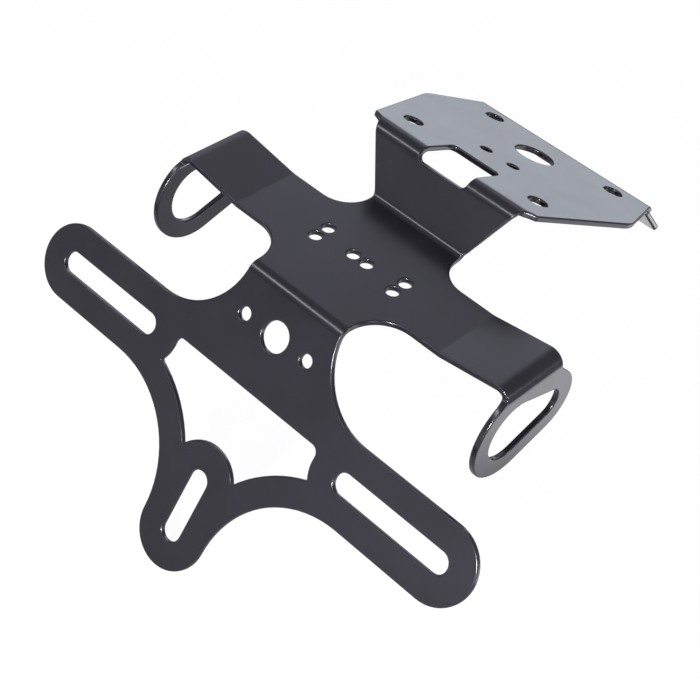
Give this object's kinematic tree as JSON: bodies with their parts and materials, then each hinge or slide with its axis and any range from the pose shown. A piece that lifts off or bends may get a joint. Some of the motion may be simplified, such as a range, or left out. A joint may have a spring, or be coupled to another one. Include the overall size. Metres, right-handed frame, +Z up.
{
  "type": "tail tidy",
  "caption": "Folded steel tail bracket for a motorcycle: flat top plate on a riser, sloping middle with an indicator loop at each side, and a steep slotted number plate bracket.",
  "frame": {"origin": "centre of the four hanging bolts, on the top face of the top plate", "axes": "+Z up out of the top plate, +Y forward on the motorcycle, +X to its right-hand side"},
  "size_m": [0.1802, 0.1458, 0.1356],
  "materials": {
    "black_powder_coat": "satin"
  },
  "bodies": {
    "root": {"folded_bracket": "black_powder_coat"}
  },
  "joints": []
}
